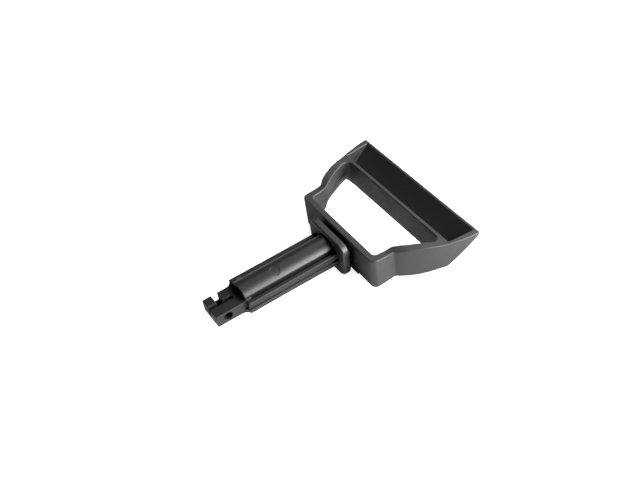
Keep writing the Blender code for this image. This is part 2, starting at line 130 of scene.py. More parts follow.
# shank
STEM_END, NECK_X = -53.2, -2.12
CORE_R, CORE_HALF = 7.2, 5.92
FLUTE_WEB_Z, FLUTE_WEB_SINK = 1.4, 0.8
RAIL_IN, RAIL_OUT, RAIL_Z = 7.35, 9.35, 3.2
RAIL_SLOT_Z, RAIL_SLOT_Y = 0.9, 8.1
NECK_HALF_Y, NECK_HALF_Z = 7.6, 4.4
TIP_END, TIP_HALF, TIP_TOP, TIP_LOW = STEM_MIN[0], 6.6, 2.7, -3.6
TIP_FILLET, TIP_FILL_TOP = 3.0, -1.3
SLOT_LOW, SLOT_HIGH, SLOT_END, SLOT_FLOOR = -0.8, 1.3, -56.6, -1.3
NOTCH_X0, NOTCH_X1, NOTCH_FLOOR, NOTCH_OVERLAP = -64.15, -61.05, -1.75, 0.5
NIPPLE_X, NIPPLE_Z, NIPPLE_R, NIPPLE_OVERLAP = -62.8, -0.15, 2.1, 0.6
PILOT_R, PILOT_END = 2.0, -17.0
MARK_X, MARK_Y, MARK_R, MARK_DEEP = -35.0, -2.4, 2.2, 0.12

# collar and buffer
COLLAR_X0, COLLAR_X1 = COLLAR_MIN[0], COLLAR_MAX[0]
COLLAR_HALF, COLLAR_Z = COLLAR_MAX[1], COLLAR_MAX[2]
COLLAR_R_TOP, COLLAR_R_LOW, COLLAR_EDGE = 4.4, 5.6, 0.9
BUFFER_X0, BUFFER_X1 = BUFFER_MIN[0], BUFFER_MAX[0]
BUFFER_HALF, BUFFER_Z, BUFFER_R = BUFFER_MAX[1], BUFFER_MAX[2], 4.0

# screw: taper of the point is radius per length, and its factor makes the field a distance
SCREW_R, SCREW_END = 1.7, -14.0
POINT_TAPER, POINT_FACTOR = 0.85, 0.76
# the ridge half width is a share of the pitch; fades are (start, length)
PITCH, RIDGE_HALF, RIDGE_HIGH = 1.35, 0.3, 0.36
POINT_FADE, HEAD_FADE = (1.2, 1.6), (-0.8, 1.2)
HEAD_X, CONE_X = BASE_THICK - 0.2, SINK_X - 0.06
CONE_BACK, HEAD_START, RIM_CUT = 1.6, -0.05, 0.15
CROSS_LONG, CROSS_THIN, CROSS_DEEP, CROSS_TAPER = 1.9, 0.42, 1.2, 0.12


# ---- plane outlines ----
def bezier(curve, steps):
    points = []
    for i in range(steps + 1):
        t = i / steps
        a, b, c, d = (1 - t) ** 3, 3 * (1 - t) ** 2 * t, 3 * (1 - t) * t * t, t ** 3
        points.append(tuple(a * start + b * leave + c * arrive + d * end
                            for start, leave, arrive, end in zip(*curve)))
    return points


def trim(run, reach):
    """Takes reach off the end of a run; also gives the direction the run ends in."""
    points = list(run)
    while len(points) > 2 and (points[-1] - points[-2]).length <= reach:
        reach -= (points[-1] - points[-2]).length
        points.pop()
    way = (points[-1] - points[-2]).normalized()
    points[-1] = points[-1] - way * reach
    return points, way


def join(legs, reaches, steps, closed=True):
    """Runs of points joined end to end; the corner after run i is rounded from reaches[i] away."""
    count = len(legs)
    runs = [[Vector(p) for p in leg] for leg in legs]
    arcs = [[] for _ in runs]
    for i in range(count if closed else count - 1):
        j = (i + 1) % count
        if reaches[i] <= 0:
            runs[i] = runs[i][:-1]
            continue
        runs[i], leave = trim(runs[i], reaches[i])
        backwards, arrive = trim(runs[j][::-1], reaches[i])
        runs[j] = backwards[::-1]
        start, end, arrive = runs[i][-1], runs[j][0], -arrive
        cross = leave.x * arrive.y - leave.y * arrive.x
        ahead = ((end - start).x * arrive.y - (end - start).y * arrive.x) / cross
        corner = start + leave * ahead
        weight = math.sqrt(max(0.0, (1 + leave.dot(arrive)) / 2))
        for k in range(1, steps):
            t = k / steps
            a, b, c = (1 - t) ** 2, 2 * weight * t * (1 - t), t * t
            arcs[i].append((start * a + corner * b + end * c) / (a + b + c))
    return [(p.x, p.y) for run, arc in zip(runs, arcs) for p in run + arc]


def rounded(corners, radii, steps):
    """Polygon with a radius at each corner."""
    count = len(corners)
    legs = [[corners[i], corners[(i + 1) % count]] for i in range(count)]
    reaches = []
    for i in range(count):
        before, corner, after = (Vector(corners[(i + k) % count]) for k in range(3))
        turn = (corner - before).angle(after - corner)
        reaches.append(radii[(i + 1) % count] * math.tan(turn / 2))
    return join(legs, reaches, steps)


def oblong(half, height, r_top, r_low, steps):
    corners = [(half, height), (-half, height), (-half, -height), (half, -height)]
    return rounded(corners, [r_top, r_top, r_low, r_low], steps)


def mirrored(half):
    return half + [(x, -y) for x, y in reversed(half) if abs(y) > 1e-9]


def width_at(run, x):
    for (x0, y0), (x1, y1) in zip(run, run[1:]):
        if x <= x1:
            return y0 + (y1 - y0) * max(0.0, (x - x0)) / max(1e-9, x1 - x0)
    return run[-1][1]


def loop_outline():
    run_out = (LOOP_LENGTH + 2.5, FRONT_HALF + 0.1)  # past the front face, which is cut later
    legs = [[(0.0, 0.0), (0.0, BASE_HALF)],
            [(0.0, BASE_HALF), STUB],
            bezier(ARM_CURVE, steps=70) + [run_out],
            [run_out, (run_out[0], 0.0)]]
    return mirrored(join(legs, [BASE_REACH, 0.7, 0], CORNER_STEPS, closed=False))


def opening_outline(web_reach):
    legs = [[(BASE_THICK, 0.0), (BASE_THICK, OPEN_HALF)],
            [(BASE_THICK, OPEN_HALF), OPEN_CURVE[0]],
            bezier(OPEN_CURVE, steps=50),
            [OPEN_CURVE[-1], (WEB_X, 0.0)]]
    return mirrored(join(legs, [1.8, 1.0, web_reach], CORNER_STEPS, closed=False))


# ---- distance fields ----
FIELD_REACH = 6.0  # outline distances are exact up to here


class Grid:
    """axes are the three 1D coordinate runs; fields are the same, shaped to broadcast in 3D."""

    def __init__(self, low, high, step):
        self.step = step
        self.low = np.array(low, float)
        self.axes = [np.arange(start, end + step, step, dtype=np.float32)
                     for start, end in zip(low, high)]
        x, y, z = self.axes
        self.fields = x[:, None, None], y[None, :, None], z[None, None, :]


def outline_field(ring, xs, ys):
    """Signed distance to a closed outline on the plane grid xs by ys, negative inside."""
    best = np.full((len(xs), len(ys)), FIELD_REACH * FIELD_REACH, np.float32)
    odd = np.zeros(best.shape, bool)
    for (x0, y0), (x1, y1) in zip(ring, ring[1:] + ring[:1]):
        i0, i1 = np.searchsorted(xs, (min(x0, x1) - FIELD_REACH, max(x0, x1) + FIELD_REACH))
        j0, j1 = np.searchsorted(ys, (min(y0, y1) - FIELD_REACH, max(y0, y1) + FIELD_REACH))
        dx, dy = x1 - x0, y1 - y0
        length2 = dx * dx + dy * dy
        if length2 < 1e-12:
            continue
        if i1 > i0 and j1 > j0:
            px, py = xs[i0:i1, None] - x0, ys[None, j0:j1] - y0
            t = np.clip((px * dx + py * dy) / length2, 0, 1)
            near = best[i0:i1, j0:j1]
            np.minimum(near, (px - t * dx) ** 2 + (py - t * dy) ** 2, out=near)
        beside = (xs >= min(x0, x1)) & (xs < max(x0, x1))
        if beside.any():
            odd[beside] ^= ys[None, :] > (y0 + (xs[beside] - x0) * (dy / dx))[:, None]
    best = np.sqrt(best)
    best[odd] *= -1
    return best


def distance(one, other):
    return np.sqrt(one ** 2 + other ** 2)


def meet(one, other, edge=0.0):
    """Where both are solid; edge rounds the convex edge between them."""
    if edge <= 0:
        return np.maximum(one, other)
    return (np.minimum(np.maximum(one, other), -edge)
            + np.sqrt(np.maximum(one + edge, 0) ** 2 + np.maximum(other + edge, 0) ** 2))


def unite(one, other, fillet=0.0):
    """Where either is solid; fillet fills the inner corner between them."""
    if fillet <= 0:
        return np.minimum(one, other)
    return (np.maximum(np.minimum(one, other), fillet)
            - np.sqrt(np.maximum(fillet - one, 0) ** 2 + np.maximum(fillet - other, 0) ** 2))


def cut(body, tool, edge):
    return meet(body, -tool, edge)


def slab(along, low, high):
    return np.maximum(low - along, along - high)


def brick(grid, low, high, edge):
    x, y, z = (slab(*run) for run in zip(grid.fields, low, high))
    return meet(meet(x, y, edge), z, edge)


def ease(x, start, end):
    """Smooth step from 0 to 1."""
    t = np.clip((x - start) / (end - start), 0, 1)
    return t * t * (3 - 2 * t)


# ---- skin through the zero level; points are in grid cells ----
UNIT = np.eye(3, dtype=int)


def sample(field, points):
    """Field values at the points, by linear interpolation."""
    points = np.clip(points, 0, np.array(field.shape) - 1.001)
    cell = points.astype(np.int32)
    part = (points - cell).astype(np.float32)
    weights = 1 - part, part
    total = 0
    for i, j, k in product((0, 1), repeat=3):
        weight = weights[i][:, 0] * weights[j][:, 1] * weights[k][:, 2]
        total = total + weight * field[cell[:, 0] + i, cell[:, 1] + j, cell[:, 2] + k]
    return total


def slope(field, points):
    reach = 0.5
    out = np.empty((len(points), 3), np.float32)
    for k, shift in enumerate(np.eye(3) * reach):
        out[:, k] = (sample(field, points + shift) - sample(field, points - shift)) / (2 * reach)
    return out


def bend(field, points, step):
    """Curvature of the field: positive on convex edges."""
    reach = 0.8
    total = -6 * sample(field, points)
    for shift in np.eye(3) * reach:
        total = total + sample(field, points + shift) + sample(field, points - shift)
    return total / (reach * reach * step)


def settle(field, points, step, rounds):
    """Moves points onto the zero level, by at most 0.6 of a cell each round."""
    for _ in range(rounds):
        grade = slope(field, points)
        grade2 = np.maximum((grade * grade).sum(1), (0.3 * step) ** 2)
        move = -(sample(field, points) / grade2)[:, None] * grade
        size = np.linalg.norm(move, axis=1)
        move *= np.minimum(1, 0.6 / np.maximum(size, 1e-9))[:, None]
        points = points + move
    return points


def untangle(field):
    """Fills the odd grid corner where two parts of the surface would share one skin edge."""
    for _ in range(6):
        solid = field < 0
        found = False
        for axis in range(3):
            side1, side2 = [k for k in range(3) if k != axis]

            def corner(i, j):
                where = [slice(None)] * 3
                where[side1] = slice(1, None) if i else slice(0, -1)
                where[side2] = slice(1, None) if j else slice(0, -1)
                return solid[tuple(where)]

            twist = ((corner(0, 0) == corner(1, 1)) & (corner(0, 1) == corner(1, 0))
                     & (corner(0, 0) != corner(0, 1)))
            step1, step2 = UNIT[side1], UNIT[side2]
            for c in np.argwhere(twist):
                ring = [tuple(c), tuple(c + step1), tuple(c + step2), tuple(c + step1 + step2)]
                hollow = [q for q in ring if field[q] >= 0]
                if hollow:
                    field[min(hollow, key=lambda q: field[q])] = -0.004
                found = True
        if not found:
            break
    return field


def cell_points(field, solid, cells):
    """One point per cell: the mean of the crossings on the cell's edges."""
    total = np.zeros((len(cells), 3), np.float32)
    hits = np.zeros(len(cells), np.float32)
    for axis in range(3):
        side1, side2 = [k for k in range(3) if k != axis]
        for p, q in product((0, 1), repeat=2):
            start = p * UNIT[side1] + q * UNIT[side2]
            value0 = field[tuple((cells + start).T)]
            value1 = field[tuple((cells + start + UNIT[axis]).T)]
            crossed = (value0 < 0) != (value1 < 0)
            t = value0[crossed] / (value0[crossed] - value1[crossed])
            points = np.repeat(start[None].astype(np.float32), crossed.sum(), 0)
            points[:, axis] += t
            total[crossed] += points
            hits[crossed] += 1
    return cells + total / hits[:, None]


def skin(field):
    """Closed quad surface: one point per crossed cell, one quad per crossed grid edge."""
    solid = field < 0
    ends = slice(0, -1), slice(1, None)
    count = sum(solid.astype(np.int8)[where] for where in product(ends, repeat=3))
    live = (count > 0) & (count < 8)
    cells = np.argwhere(live)
    number = np.full(live.shape, -1, np.int32)
    number[live] = np.arange(len(cells))
    quads = []
    for axis in range(3):
        low, high = [slice(None)] * 3, [slice(None)] * 3
        low[axis], high[axis] = ends
        before, after = solid[tuple(low)], solid[tuple(high)]
        edges = np.argwhere(before != after)
        inner = (edges > 0) & (edges < np.array(live.shape)[None])
        edges = edges[(inner | (np.arange(3) == axis)).all(1)]
        solid_first = before[tuple(edges.T)]
        step1, step2 = UNIT[(axis + 1) % 3], UNIT[(axis + 2) % 3]
        around = (edges - step1 - step2, edges - step2, edges, edges - step1)
        quad = np.stack([number[tuple(c.T)] for c in around], 1)
        quad[~solid_first] = quad[~solid_first][:, ::-1]
        quads.append(quad)
    return cell_points(field, solid, cells), np.concatenate(quads)


# ---- meshes ----
def read_points(mesh):
    flat = np.empty(len(mesh.vertices) * 3, np.float32)
    mesh.vertices.foreach_get("co", flat)
    return flat.reshape(-1, 3).astype(float)


def write_points(mesh, points):
    mesh.vertices.foreach_set("co", points.astype(np.float32).ravel())


def add_object(name, mesh):
    obj = bpy.data.objects.new(name, mesh)
    bpy.context.scene.collection.objects.link(obj)
    return obj


def quad_mesh(name, points, quads):
    mesh = bpy.data.meshes.new(name)
    mesh.vertices.add(len(points))
    write_points(mesh, points)
    mesh.loops.add(quads.size)
    mesh.loops.foreach_set("vertex_index", quads.astype(np.int32).ravel())
    mesh.polygons.add(len(quads))
    mesh.polygons.foreach_set("loop_start", np.arange(0, quads.size, 4, dtype=np.int32))
    mesh.update(calc_edges=True)
    return mesh


def decimate(obj, ratio):
    name, dense = obj.name, obj.data
    thin = obj.modifiers.new("thin", "DECIMATE")
    thin.ratio = ratio
    bpy.context.view_layer.update()
    evaluated = obj.evaluated_get(bpy.context.evaluated_depsgraph_get())
    thinned = bpy.data.meshes.new_from_object(evaluated)
    obj.modifiers.clear()
    obj.data = thinned
    bpy.data.meshes.remove(dense)
    thinned.name = name


def tidy(mesh):
    """Merges points that fell together and drops faces without area, leaving triangles."""
    same = 6e-6
    bm = bmesh.new()
    bm.from_mesh(mesh)
    for _ in range(2):
        bmesh.ops.triangulate(bm, faces=bm.faces[:])
        bmesh.ops.remove_doubles(bm, verts=bm.verts[:], dist=same)
        bmesh.ops.dissolve_degenerate(bm, edges=bm.edges[:], dist=same)
    bmesh.ops.triangulate(bm, faces=bm.faces[:])
    bmesh.ops.delete(bm, geom=[v for v in bm.verts if not v.link_faces], context="VERTS")
    bm.to_mesh(mesh)
    bm.free()
    mesh.update()


def piece(name, field, grid, triangles, body, stands_for):
    """Object drawn through a field, thinned to about that many triangles, with true normals."""
    points, quads = skin(untangle(np.ascontiguousarray(field)))
    points = settle(field, points, grid.step, rounds=4)
    obj = add_object(name, quad_mesh(name, points, quads))
    if 2 * len(quads) > triangles:
        decimate(obj, triangles / (2 * len(quads)))
    mesh = obj.data
    points = settle(field, read_points(mesh), grid.step, rounds=2)
    home = grid.low + (BASE_AT, 0, 0)
    write_points(mesh, (points * grid.step + home) * MM)
    tidy(mesh)

    points = (read_points(mesh) / MM - home) / grid.step
    normals = slope(field, points)
    normals /= np.maximum(np.linalg.norm(normals, axis=1), 1e-9)[:, None]
    # curvature per point; the materials use it to lighten convex edges (painted highlight, partly
    # wear) and make them glossier
    edge = mesh.attributes.new("edge", "FLOAT", "POINT")
    edge.data.foreach_set("value", bend(field, points, grid.step).astype(np.float32))
    mesh.update()
    mesh.shade_smooth()
    mesh.normals_split_custom_set_from_vertices([tuple(n) for n in normals])
    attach(obj, body)
    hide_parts(stands_for)
    return obj


# ---- finger loop ----
def loop_plate(grid):
    """Solid loop: higher along the arms, its underside lower at the base, higher in front."""
    x, _, z = grid.fields
    top = LOOP_TOP + CROWN * ease(x, *CROWN_START) * (1 - ease(x, *CROWN_END))
    low = LOOP_LOW - DROP * (1 - ease(x, *DROP_SPAN)) + RISE * ease(x, *RISE_SPAN)
    outline = outline_field(loop_outline(), *grid.axes[:2])[:, :, None]
    return meet(outline, np.maximum(low - z, z - top), edge=0.5)


def opening(grid):
    """Upright walls above the knee; below it the side walls run out towards the underside."""
    outer = [(0.0, BASE_HALF)] + bezier(ARM_CURVE, steps=60)
    inner = [(BASE_THICK, OPEN_HALF)] + bezier(OPEN_CURVE, steps=60)
    splayed = []
    for x, y in opening_outline(web_reach=0.6):
        extra = WALL_EXTRA * max(0.0, 1 - (x - BASE_THICK) / WALL_EXTRA_LENGTH)
        wall = WALL + extra - WALL_LESS * ease(x, *WALL_LESS_SPAN)
        splayed.append((x, y * (width_at(outer, x) - wall) / width_at(inner, x)))
    upper, lower = (outline_field(ring, *grid.axes[:2])[:, :, None]
                    for ring in (opening_outline(web_reach=4.0), splayed))
    knee = LOOP_TOP - OPEN_DEEP
    splay = np.clip((knee - grid.fields[2]) / (knee - LOOP_LOW), 0, 1.3)
    return upper + (lower - upper) * splay


def raked_front(grid):
    """Front face leaning back below a blunt upright edge."""
    x, _, z = grid.fields
    run, rise = LOOP_LENGTH - RAKE_X, LOOP_TOP - NOSE - (LOOP_LOW + RISE)
    rake = ((x - LOOP_LENGTH) * rise - (z - LOOP_TOP + NOSE) * run) / math.hypot(run, rise)
    return meet(x - LOOP_LENGTH, rake, edge=0.3)


def trough(grid):
    x, y, _ = grid.fields
    web = WEB_X + WEB_THICK
    lean = (TROUGH_FRONT - TROUGH_FLOOR[0]) / (LOOP_TOP - TROUGH_FLOOR[1])
    over = LOOP_TOP + OVERLAP
    corners = [(web, TROUGH_FLOOR[1]), TROUGH_FLOOR,
               (TROUGH_FRONT + lean * OVERLAP, over), (web, over)]
    section = rounded(corners, radii=[0.35, 0.5, 0.0, 0.0], steps=8)
    field = outline_field(section, grid.axes[0], grid.axes[2])[:, None, :]
    ends = np.abs(y) - (TROUGH_END + (x - web) * TROUGH_TAPER)
    return meet(field, ends, edge=0.6)


def countersunk_hole(grid):
    x, y, z = grid.fields
    radius = distance(y, z)
    hole = np.maximum(radius - HOLE_R, x - HOLE_END)
    cone = (radius - HOLE_R - (x - SINK_X)) * math.sqrt(0.5)
    sink = np.maximum(cone, SINK_X - SINK_BACK - x)
    return np.maximum(unite(hole, np.maximum(sink, radius - SINK_R)), x - SINK_END)


def grip_loop():
    grid = Grid((-1.0, -45.2, PAD_LOW - 1.2),
                (LOOP_LENGTH + 1.0, 45.2, LOOP_TOP + CROWN + 1.0), step=0.25)
    pad = brick(grid, (PAD_BACK, -PAD_HALF, PAD_LOW),
                (BASE_THICK - PAD_BACK, PAD_HALF, LOOP_LOW), edge=0.35)
    key_seat = brick(grid, (-OVERLAP, -KEY_HALF_Y - GAP, -KEY_HALF_Z - GAP),
                     (KEY_DEEP, KEY_HALF_Y + GAP, KEY_HALF_Z + GAP), edge=0.2)
    body = cut(loop_plate(grid), opening(grid), edge=0.45)
    body = unite(body, pad, fillet=0.3)
    body = meet(body, raked_front(grid), edge=0.2)
    body = cut(body, trough(grid), edge=0.22)
    body = cut(body, key_seat, edge=0.15)
    body = cut(body, countersunk_hole(grid), edge=0.12)
    return piece("finger_loop", body, grid, triangles=150000, body="handle",
                 stands_for="grip_loop")


# ---- shank with the cable tip ----
def flute_fields(grid, grow=0.0):
    """Round core, and side rails on their webs: the shank's cross section over Y and Z."""
    _, y, z = grid.fields
    core = meet(distance(y, z) - CORE_R - grow, np.abs(y) - CORE_HALF - grow, edge=0.22)
    web = np.maximum(np.abs(z) - FLUTE_WEB_Z - grow, np.abs(y) - RAIL_IN - FLUTE_WEB_SINK)
    rail = meet(slab(np.abs(y), RAIL_IN - grow, RAIL_OUT + grow),
                np.abs(z) - RAIL_Z - grow, edge=0.22)
    groove = meet(RAIL_SLOT_Y + grow - np.abs(y), np.abs(z) - RAIL_SLOT_Z + grow, edge=0.12)
    return core, unite(web, cut(rail, groove, edge=0.14), fillet=0.22)


def fluted_body(grid):
    """Core and rails, running into the tip plate in hollow fillets."""
    x, y, z = grid.fields
    core, rails = flute_fields(grid)
    back, shoulder = STEM_END - x, x - NECK_X
    core = meet(meet(core, back, edge=0.3), shoulder, edge=0.2)
    # shallow round mark on top of the core
    mark = np.maximum(distance(x - MARK_X, y - MARK_Y) - MARK_R,
                      CORE_R - MARK_DEEP - distance(y, z))
    core = cut(core, np.maximum(mark, -z), edge=0.04)
    rails = meet(meet(rails, back, edge=0.2), shoulder, edge=0.2)

    tip = brick(grid, (TIP_END, -TIP_HALF, TIP_LOW),
                (STEM_END + OVERLAP, TIP_HALF, TIP_TOP), edge=0.28)
    full = unite(rails, tip, fillet=TIP_FILLET)
    # on the nipple hole's side, -Y, only the lower part is filled
    low = meet(full, np.maximum(z - TIP_FILL_TOP, y), edge=0.15)
    far = meet(full, -y)
    body = unite(unite(rails, tip, fillet=0.4), unite(low, far))
    return np.minimum(unite(core, body, fillet=0.35), tip)


def neck_and_key(grid):
    x, y, z = grid.fields
    neck = meet(np.abs(y) - NECK_HALF_Y, np.abs(z) - NECK_HALF_Z, edge=1.5)
    neck = meet(neck, slab(x, NECK_X - OVERLAP, -GAP), edge=0.2)
    key = brick(grid, (-OVERLAP, -KEY_HALF_Y, -KEY_HALF_Z),
                (KEY_DEEP - GAP, KEY_HALF_Y, KEY_HALF_Z), edge=0.18)
    return unite(neck, key)


def cable_slot(grid):
    """Slot open at the top and the tip's end, with the nipple notch on its +Y side."""
    x, y, z = grid.fields
    slot = meet(slab(y, SLOT_LOW, SLOT_HIGH), x - SLOT_END, edge=0.3)
    slot = meet(slot, SLOT_FLOOR - z, edge=0.25)
    notch = meet(slab(x, NOTCH_X0, NOTCH_X1), NOTCH_FLOOR - z, edge=0.25)
    notch = meet(notch, SLOT_HIGH - NOTCH_OVERLAP - y, edge=0.1)
    return unite(slot, notch, fillet=0.1)


def stem():
    grid = Grid((TIP_END - 1.0, -RAIL_OUT - 1.0, -CORE_R - 1.0),
                (KEY_DEEP + 0.8, RAIL_OUT + 1.0, CORE_R + 1.0), step=0.17)
    x, y, z = grid.fields
    nipple_hole = np.maximum(distance(x - NIPPLE_X, z - NIPPLE_Z) - NIPPLE_R,
                             y - SLOT_LOW - NIPPLE_OVERLAP)
    pilot_hole = np.maximum(distance(y, z) - PILOT_R, PILOT_END - x)
    body = unite(fluted_body(grid), neck_and_key(grid))
    body = cut(body, cable_slot(grid), edge=0.2)
    body = cut(body, nipple_hole, edge=0.2)
    body = cut(body, pilot_hole, edge=0.12)
    return piece("fluted_shank", body, grid, triangles=130000, body="handle",
                 stands_for="stem")


# ---- collar, buffer and screw ----
def oblong_block(x0, x1, half, height, r_top, r_low, steps, edge, margin, step):
    """Oblong extruded from x0 to x1, and the grid around it."""
    grid = Grid((x0 - margin, -half - margin, -height - margin),
                (x1 + margin, half + margin, height + margin), step)
    ring = oblong(half, height, r_top, r_low, steps)
    outline = outline_field(ring, *grid.axes[1:])[None, :, :]
    return grid, meet(outline, slab(grid.fields[0], x0, x1), edge)


def guide_collar():
    grid, body = oblong_block(COLLAR_X0, COLLAR_X1, COLLAR_HALF, COLLAR_Z, COLLAR_R_TOP,
                              COLLAR_R_LOW, steps=24, edge=COLLAR_EDGE, margin=0.8, step=0.13)
    body = cut(body, unite(*flute_fields(grid, grow=GAP), fillet=0.2), edge=0.15)
    return piece("guide_collar_ring", body, grid, triangles=60000, body="panel_guide",
                 stands_for="guide_collar")


def stop_buffer():
    grid, body = oblong_block(BUFFER_X0, BUFFER_X1, BUFFER_HALF, BUFFER_Z, BUFFER_R,
                              BUFFER_R, steps=20, edge=0.35, margin=0.6, step=0.12)
    _, y, z = grid.fields
    bore = meet(np.abs(y) - NECK_HALF_Y - GAP, np.abs(z) - NECK_HALF_Z - GAP, edge=1.8)
    body = cut(body, bore, edge=0.2)
    return piece("stop_buffer_pad", body, grid, triangles=24000, body="handle",
                 stands_for="stop_buffer")


def threaded_shank(x, y, z):
    """Ridge climbing round a pointed shank, fading at the point and under the head."""
    radius = distance(y, z)
    turn = np.arctan2(z, y) / (2 * math.pi)
    phase = (x / PITCH - turn) % 1.0
    ridge = np.maximum(0.0, 1 - np.abs(phase - 0.5) / RIDGE_HALF) * RIDGE_HIGH
    fade = (np.clip((x - SCREW_END + POINT_FADE[0]) / POINT_FADE[1], 0, 1)
            * np.clip((HEAD_FADE[0] - x) / HEAD_FADE[1], 0, 1))
    shank = radius - (SCREW_R - RIDGE_HIGH + ridge * fade)
    point = (radius - SCREW_R - (x - SCREW_END) * POINT_TAPER) * POINT_FACTOR
    return np.maximum(np.maximum(shank, point), x - SINK_X)


def screw_head(x, y, z):
    radius = distance(y, z)
    rim = SCREW_R + (HEAD_X - CONE_X)
    flank = (radius - (SCREW_R + (x - CONE_X))) * math.sqrt(0.5)
    head = meet(np.maximum(flank, SINK_X - CONE_BACK - x), x - HEAD_X, edge=0.15)
    head = meet(head, radius - rim + RIM_CUT, edge=0.1)
    return np.maximum(head, HEAD_START - x)


def cross_recess(x, y, z):
    floor_field = HEAD_X - CROSS_DEEP - x
    taper = (HEAD_X - x) * CROSS_TAPER
    arms = [np.maximum(np.maximum(np.abs(along) - CROSS_LONG + taper,
                                  np.abs(across) - CROSS_THIN + taper), floor_field)
            for along, across in ((y, z), (z, y))]
    return unite(*arms, fillet=0.2)


def retaining_screw():
    grid = Grid((SCREW_END - 2.2, -4.4, -4.4), (HEAD_X + 0.6, 4.4, 4.4), step=0.1)
    body = unite(screw_head(*grid.fields), threaded_shank(*grid.fields), fillet=0.3)
    body = cut(body, cross_recess(*grid.fields), edge=0.08)
    return piece("countersunk_screw", body, grid, triangles=40000, body="handle",
                 stands_for="retaining_screw")


# ---- materials ----
MIX_A, MIX_B, MIX_RESULT = 6, 7, 2  # colour sockets of a Mix node


def shader(name):
    """Material, its node tree, its main shader and its texture coordinates."""
    mat = bpy.data.materials.new(name)
    mat.use_nodes = True
    tree = mat.node_tree
    return mat, tree, tree.nodes["Principled BSDF"], node(tree, "ShaderNodeTexCoord")


def node(tree, kind, **inputs):
    new = tree.nodes.new(kind)
    for key, value in inputs.items():
        new.inputs[key].default_value = value
    return new


def link(tree, source, out, target, into):
    tree.links.new(source.outputs[out], target.inputs[into])


def noise(tree, source, out="Object", **inputs):
    new = node(tree, "ShaderNodeTexNoise", **inputs)
    link(tree, source, out, new, "Vector")
    return new


def ramp(tree, source, low, high):
    """Colour ramp over a noise; low and high are (position, colour)."""
    new = tree.nodes.new("ShaderNodeValToRGB")
    for stop, (position, colour) in zip(new.color_ramp.elements, (low, high)):
        stop.position, stop.color = position, (*colour, 1)
    link(tree, source, "Fac", new, "Fac")
    return new


def remap(tree, source, span, to):
    new = node(tree, "ShaderNodeMapRange", **{"From Min": span[0], "From Max": span[1],
                                              "To Min": to[0], "To Max": to[1]})
    link(tree, source, "Fac", new, "Value")
    return new


def bump(tree, source, out, bsdf, strength, depth):
    new = node(tree, "ShaderNodeBump", Strength=strength, Distance=depth)
    link(tree, source, out, new, "Height")
    link(tree, new, "Normal", bsdf, "Normal")


def moulded(name, dark, light, rough, grain, grain_depth, edge_sheen_and_wear, specular):
    """Moulded plastic: fine grain, slow mottling in tone and gloss, polished convex edges painted
    lighter as highlight and partly wear.
    """
    mat, tree, bsdf, coord = shader(name)
    flow = noise(tree, coord, Scale=62.0, Detail=3.0, Roughness=0.55)
    tone = ramp(tree, flow, low=(0.32, dark), high=(0.68, light))
    speck = noise(tree, coord, Scale=grain * 0.55, Detail=2.0, Roughness=0.6)
    fleck = remap(tree, speck, span=(0.35, 0.65), to=(0.9, 1.1))
    tint = tree.nodes.new("ShaderNodeMix")
    tint.data_type, tint.blend_type = "RGBA", "MULTIPLY"
    tint.inputs["Factor"].default_value = 1.0
    link(tree, tone, "Color", tint, MIX_A)
    link(tree, fleck, "Result", tint, MIX_B)

    edge = tree.nodes.new("ShaderNodeAttribute")
    edge.attribute_name = "edge"
    rim = remap(tree, edge, span=(0.35, 1.8), to=(0.0, 1.0))
    # convex edges are mixed towards a lighter colour: a painted highlight along the edges, partly
    # rubbed wear
    edge_sheen_and_wear_mix = tree.nodes.new("ShaderNodeMix")
    edge_sheen_and_wear_mix.data_type = "RGBA"
    link(tree, rim, "Result", edge_sheen_and_wear_mix, "Factor")
    link(tree, tint, MIX_RESULT, edge_sheen_and_wear_mix, MIX_A)
    edge_sheen_and_wear_mix.inputs[MIX_B].default_value = (*edge_sheen_and_wear, 1)
    link(tree, edge_sheen_and_wear_mix, MIX_RESULT, bsdf, "Base Color")

    gloss = remap(tree, flow, span=(0.3, 0.7), to=(rough + 0.045, rough - 0.045))
    polish = tree.nodes.new("ShaderNodeMath")
    polish.operation = "MULTIPLY_ADD"
    polish.inputs[1].default_value = -0.1  # edges are this much smoother
    link(tree, rim, "Result", polish, 0)
    link(tree, gloss, "Result", polish, 2)
    link(tree, polish, 0, bsdf, "Roughness")

    fine = noise(tree, coord, Scale=grain, Detail=3.0, Roughness=0.62)
    bump(tree, fine, "Fac", bsdf, strength=1.0, depth=grain_depth)
    bsdf.inputs["Specular IOR Level"].default_value = specular
    return mat


def soft_rubber():
    mat, tree, bsdf, coord = shader("buffer_rubber")
    dust = noise(tree, coord, Scale=900.0, Detail=4.0, Roughness=0.7)
    tone = ramp(tree, dust, low=(0.3, (0.008, 0.008, 0.009)), high=(0.7, (0.017, 0.017, 0.018)))
    link(tree, tone, "Color", bsdf, "Base Color")
    pits = node(tree, "ShaderNodeTexVoronoi", Scale=2600.0)
    link(tree, coord, "Object", pits, "Vector")
    bump(tree, pits, "Distance", bsdf, strength=0.7, depth=0.00004)
    rough = remap(tree, dust, span=(0.3, 0.7), to=(0.78, 0.92))
    link(tree, rough, "Result", bsdf, "Roughness")
    return mat


def plated_steel():
    mat, tree, bsdf, coord = shader("screw_steel")
    stretch = node(tree, "ShaderNodeMapping", Scale=(0.15, 1.0, 1.0))
    link(tree, coord, "Object", stretch, "Vector")
    turning = noise(tree, stretch, "Vector", Scale=2200.0, Detail=4.0, Roughness=0.65)
    haze = noise(tree, coord, Scale=300.0, Detail=2.0, Roughness=0.5)
    tone = ramp(tree, haze, low=(0.3, (0.46, 0.47, 0.48)), high=(0.7, (0.62, 0.62, 0.6)))
    link(tree, tone, "Color", bsdf, "Base Color")
    bsdf.inputs["Metallic"].default_value = 1.0
    rough = remap(tree, turning, span=(0.3, 0.7), to=(0.24, 0.4))
    link(tree, rough, "Result", bsdf, "Roughness")
    bump(tree, turning, "Fac", bsdf, strength=0.5, depth=0.00001)
    return mat


